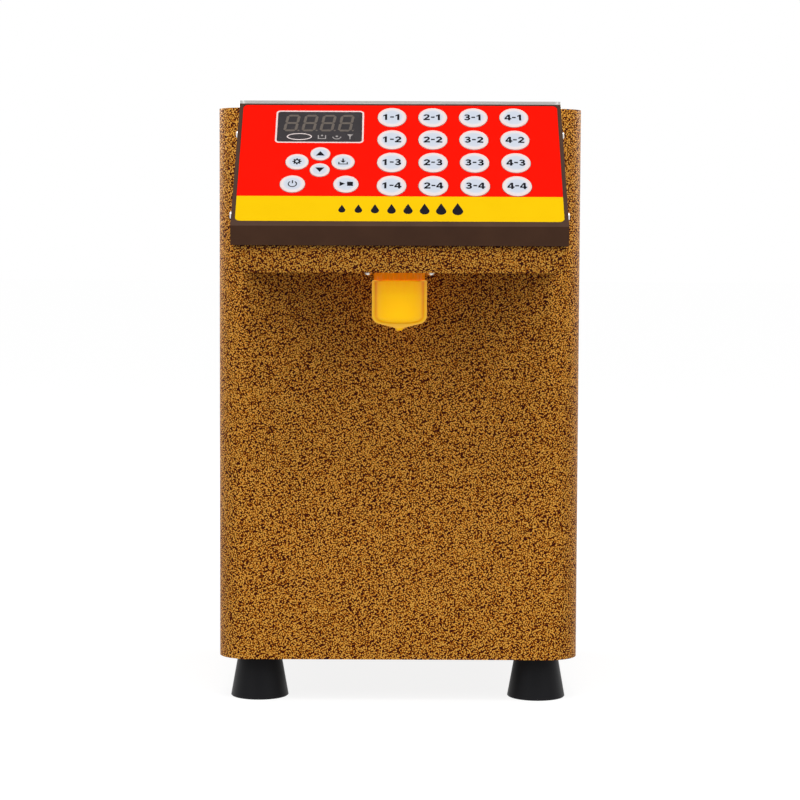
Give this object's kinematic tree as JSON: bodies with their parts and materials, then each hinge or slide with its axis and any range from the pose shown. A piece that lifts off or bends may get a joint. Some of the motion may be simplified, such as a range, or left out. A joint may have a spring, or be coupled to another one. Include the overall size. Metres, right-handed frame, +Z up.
{
  "type": "syrup dispenser",
  "caption": "Countertop sweetener-syrup dispenser: steel cabinet on rubber feet with a sloped key panel, a drip nozzle below it, a hinged tank lid and a gear pump.",
  "frame": {"origin": "on the counter plane under the four feet, in the middle of the outer box", "axes": "+Z up, the key panel and nozzle face -Y, +X to the viewer's right when facing the panel"},
  "size_m": [0.26, 0.3422, 0.4335],
  "materials": {
    "gold_paint": "hammertone paint",
    "stainless": "brushed",
    "screw_steel": "zinc plated",
    "foot_rubber": "matt moulded",
    "frame_plastic": "fine moulded grain",
    "film_red": "printed film",
    "film_yellow": "printed film",
    "window_dark": "tinted gloss",
    "display_body": "moulded",
    "board_green": "solder mask",
    "switch_black": "moulded",
    "key_white": "smooth",
    "collar_amber": "ribbed",
    "cup_yellow": "translucent",
    "heater_silicone": "smooth",
    "gasket_silicone": "smooth",
    "hose_silicone": "smooth",
    "pump_alloy": "machined",
    "gear_steel": "ground",
    "rotor_steel": "laminated",
    "motor_paint": "satin",
    "bracket_zinc": "zinc plated",
    "supply_case": "satin",
    "fitting_black": "moulded",
    "rocker_red": "smooth"
  },
  "bodies": {
    "cabinet": {"casing": "gold_paint", "rear_panel": "gold_paint", "base_plate": "gold_paint", "top_deck": "stainless", "head_shell": "gold_paint", "rubber_feet": "foot_rubber", "m4_fasteners": "screw_steel", "m3_fasteners": "screw_steel", "panel_frame": "frame_plastic", "panel_film": "film_red", "title_strip": "film_yellow", "display_window": "window_dark", "display_module": "display_body", "control_board": "board_green", "key_switches": "switch_black", "nozzle_collar": "collar_amber", "syrup_tank": "stainless", "tank_outlet": "stainless", "tank_heater": "heater_silicone", "lid_hinges": "stainless", "pump_body": "pump_alloy", "pump_cover": "pump_alloy", "pump_motor": "motor_paint", "pump_bracket": "bracket_zinc", "suction_hose": "hose_silicone", "delivery_hose": "hose_silicone", "hose_clamps": "screw_steel", "power_supply": "supply_case", "power_switch": "fitting_black", "mains_inlet": "fitting_black"},
    "lid": {"lid": "stainless", "lid_gasket": "gasket_silicone"},
    "nozzle_cup": {"nozzle_cup": "cup_yellow"},
    "power_rocker": {"power_rocker": "rocker_red"},
    "pump_drive": {"pump_drive_gear": "gear_steel", "motor_rotor": "rotor_steel", "shaft_coupling": "pump_alloy"},
    "pump_idler": {"pump_idler_gear": "gear_steel"},
    "key_1_1": {"key_1_1": "key_white"},
    "key_1_2": {"key_1_2": "key_white"},
    "key_1_3": {"key_1_3": "key_white"},
    "key_1_4": {"key_1_4": "key_white"},
    "key_2_1": {"key_2_1": "key_white"},
    "key_2_2": {"key_2_2": "key_white"},
    "key_2_3": {"key_2_3": "key_white"},
    "key_2_4": {"key_2_4": "key_white"},
    "key_3_1": {"key_3_1": "key_white"},
    "key_3_2": {"key_3_2": "key_white"},
    "key_3_3": {"key_3_3": "key_white"},
    "key_3_4": {"key_3_4": "key_white"},
    "key_4_1": {"key_4_1": "key_white"},
    "key_4_2": {"key_4_2": "key_white"},
    "key_4_3": {"key_4_3": "key_white"},
    "key_4_4": {"key_4_4": "key_white"},
    "key_up": {"key_up": "key_white"},
    "key_down": {"key_down": "key_white"},
    "key_set": {"key_set": "key_white"},
    "key_save": {"key_save": "key_white"},
    "key_power": {"key_power": "key_white"},
    "key_stop": {"key_stop": "key_white"}
  },
  "joints": [
    {"name": "lid_hinge", "type": "hinge", "parent": "cabinet", "child": "lid", "pos_m": [0, 0.15495, 0.4303], "axis": [-1, 0, 0], "range_deg": [0, 100]},
    {"name": "cup_pull", "type": "slide", "parent": "cabinet", "child": "nozzle_cup", "axis": [0, 0, -1], "range_m": [0, 0.03]},
    {"name": "rocker_tilt", "type": "hinge", "parent": "cabinet", "child": "power_rocker", "pos_m": [0.084, 0.16205, 0.084], "axis": [1, 0, 0], "range_deg": [0, 20]},
    {"name": "pump_drive_turn", "type": "hinge", "parent": "cabinet", "child": "pump_drive", "pos_m": [-0.0105, -0.00395, 0.112], "axis": [0, 1, 0], "continuous": true},
    {"name": "pump_idler_turn", "type": "hinge", "parent": "cabinet", "child": "pump_idler", "pos_m": [0.0105, -0.00395, 0.112], "axis": [0, 1, 0], "continuous": true},
    {"name": "key_1_1_press", "type": "slide", "parent": "cabinet", "child": "key_1_1", "axis": [0, 0.6884, -0.7254], "range_m": [0, 0.0004], "stiffness_N_per_m": 4000},
    {"name": "key_1_2_press", "type": "slide", "parent": "cabinet", "child": "key_1_2", "axis": [0, 0.6884, -0.7254], "range_m": [0, 0.0004], "stiffness_N_per_m": 4000},
    {"name": "key_1_3_press", "type": "slide", "parent": "cabinet", "child": "key_1_3", "axis": [0, 0.6884, -0.7254], "range_m": [0, 0.0004], "stiffness_N_per_m": 4000},
    {"name": "key_1_4_press", "type": "slide", "parent": "cabinet", "child": "key_1_4", "axis": [0, 0.6884, -0.7254], "range_m": [0, 0.0004], "stiffness_N_per_m": 4000},
    {"name": "key_2_1_press", "type": "slide", "parent": "cabinet", "child": "key_2_1", "axis": [0, 0.6884, -0.7254], "range_m": [0, 0.0004], "stiffness_N_per_m": 4000},
    {"name": "key_2_2_press", "type": "slide", "parent": "cabinet", "child": "key_2_2", "axis": [0, 0.6884, -0.7254], "range_m": [0, 0.0004], "stiffness_N_per_m": 4000},
    {"name": "key_2_3_press", "type": "slide", "parent": "cabinet", "child": "key_2_3", "axis": [0, 0.6884, -0.7254], "range_m": [0, 0.0004], "stiffness_N_per_m": 4000},
    {"name": "key_2_4_press", "type": "slide", "parent": "cabinet", "child": "key_2_4", "axis": [0, 0.6884, -0.7254], "range_m": [0, 0.0004], "stiffness_N_per_m": 4000},
    {"name": "key_3_1_press", "type": "slide", "parent": "cabinet", "child": "key_3_1", "axis": [0, 0.6884, -0.7254], "range_m": [0, 0.0004], "stiffness_N_per_m": 4000},
    {"name": "key_3_2_press", "type": "slide", "parent": "cabinet", "child": "key_3_2", "axis": [0, 0.6884, -0.7254], "range_m": [0, 0.0004], "stiffness_N_per_m": 4000},
    {"name": "key_3_3_press", "type": "slide", "parent": "cabinet", "child": "key_3_3", "axis": [0, 0.6884, -0.7254], "range_m": [0, 0.0004], "stiffness_N_per_m": 4000},
    {"name": "key_3_4_press", "type": "slide", "parent": "cabinet", "child": "key_3_4", "axis": [0, 0.6884, -0.7254], "range_m": [0, 0.0004], "stiffness_N_per_m": 4000},
    {"name": "key_4_1_press", "type": "slide", "parent": "cabinet", "child": "key_4_1", "axis": [0, 0.6884, -0.7254], "range_m": [0, 0.0004], "stiffness_N_per_m": 4000},
    {"name": "key_4_2_press", "type": "slide", "parent": "cabinet", "child": "key_4_2", "axis": [0, 0.6884, -0.7254], "range_m": [0, 0.0004], "stiffness_N_per_m": 4000},
    {"name": "key_4_3_press", "type": "slide", "parent": "cabinet", "child": "key_4_3", "axis": [0, 0.6884, -0.7254], "range_m": [0, 0.0004], "stiffness_N_per_m": 4000},
    {"name": "key_4_4_press", "type": "slide", "parent": "cabinet", "child": "key_4_4", "axis": [0, 0.6884, -0.7254], "range_m": [0, 0.0004], "stiffness_N_per_m": 4000},
    {"name": "key_up_press", "type": "slide", "parent": "cabinet", "child": "key_up", "axis": [0, 0.6884, -0.7254], "range_m": [0, 0.0004], "stiffness_N_per_m": 4000},
    {"name": "key_down_press", "type": "slide", "parent": "cabinet", "child": "key_down", "axis": [0, 0.6884, -0.7254], "range_m": [0, 0.0004], "stiffness_N_per_m": 4000},
    {"name": "key_set_press", "type": "slide", "parent": "cabinet", "child": "key_set", "axis": [0, 0.6884, -0.7254], "range_m": [0, 0.0004], "stiffness_N_per_m": 4000},
    {"name": "key_save_press", "type": "slide", "parent": "cabinet", "child": "key_save", "axis": [0, 0.6884, -0.7254], "range_m": [0, 0.0004], "stiffness_N_per_m": 4000},
    {"name": "key_power_press", "type": "slide", "parent": "cabinet", "child": "key_power", "axis": [0, 0.6884, -0.7254], "range_m": [0, 0.0004], "stiffness_N_per_m": 4000},
    {"name": "key_stop_press", "type": "slide", "parent": "cabinet", "child": "key_stop", "axis": [0, 0.6884, -0.7254], "range_m": [0, 0.0004], "stiffness_N_per_m": 4000}
  ],
  "couplings": [
    {"joint": "pump_idler_turn", "follows": "pump_drive_turn", "ratio": -1}
  ]
}
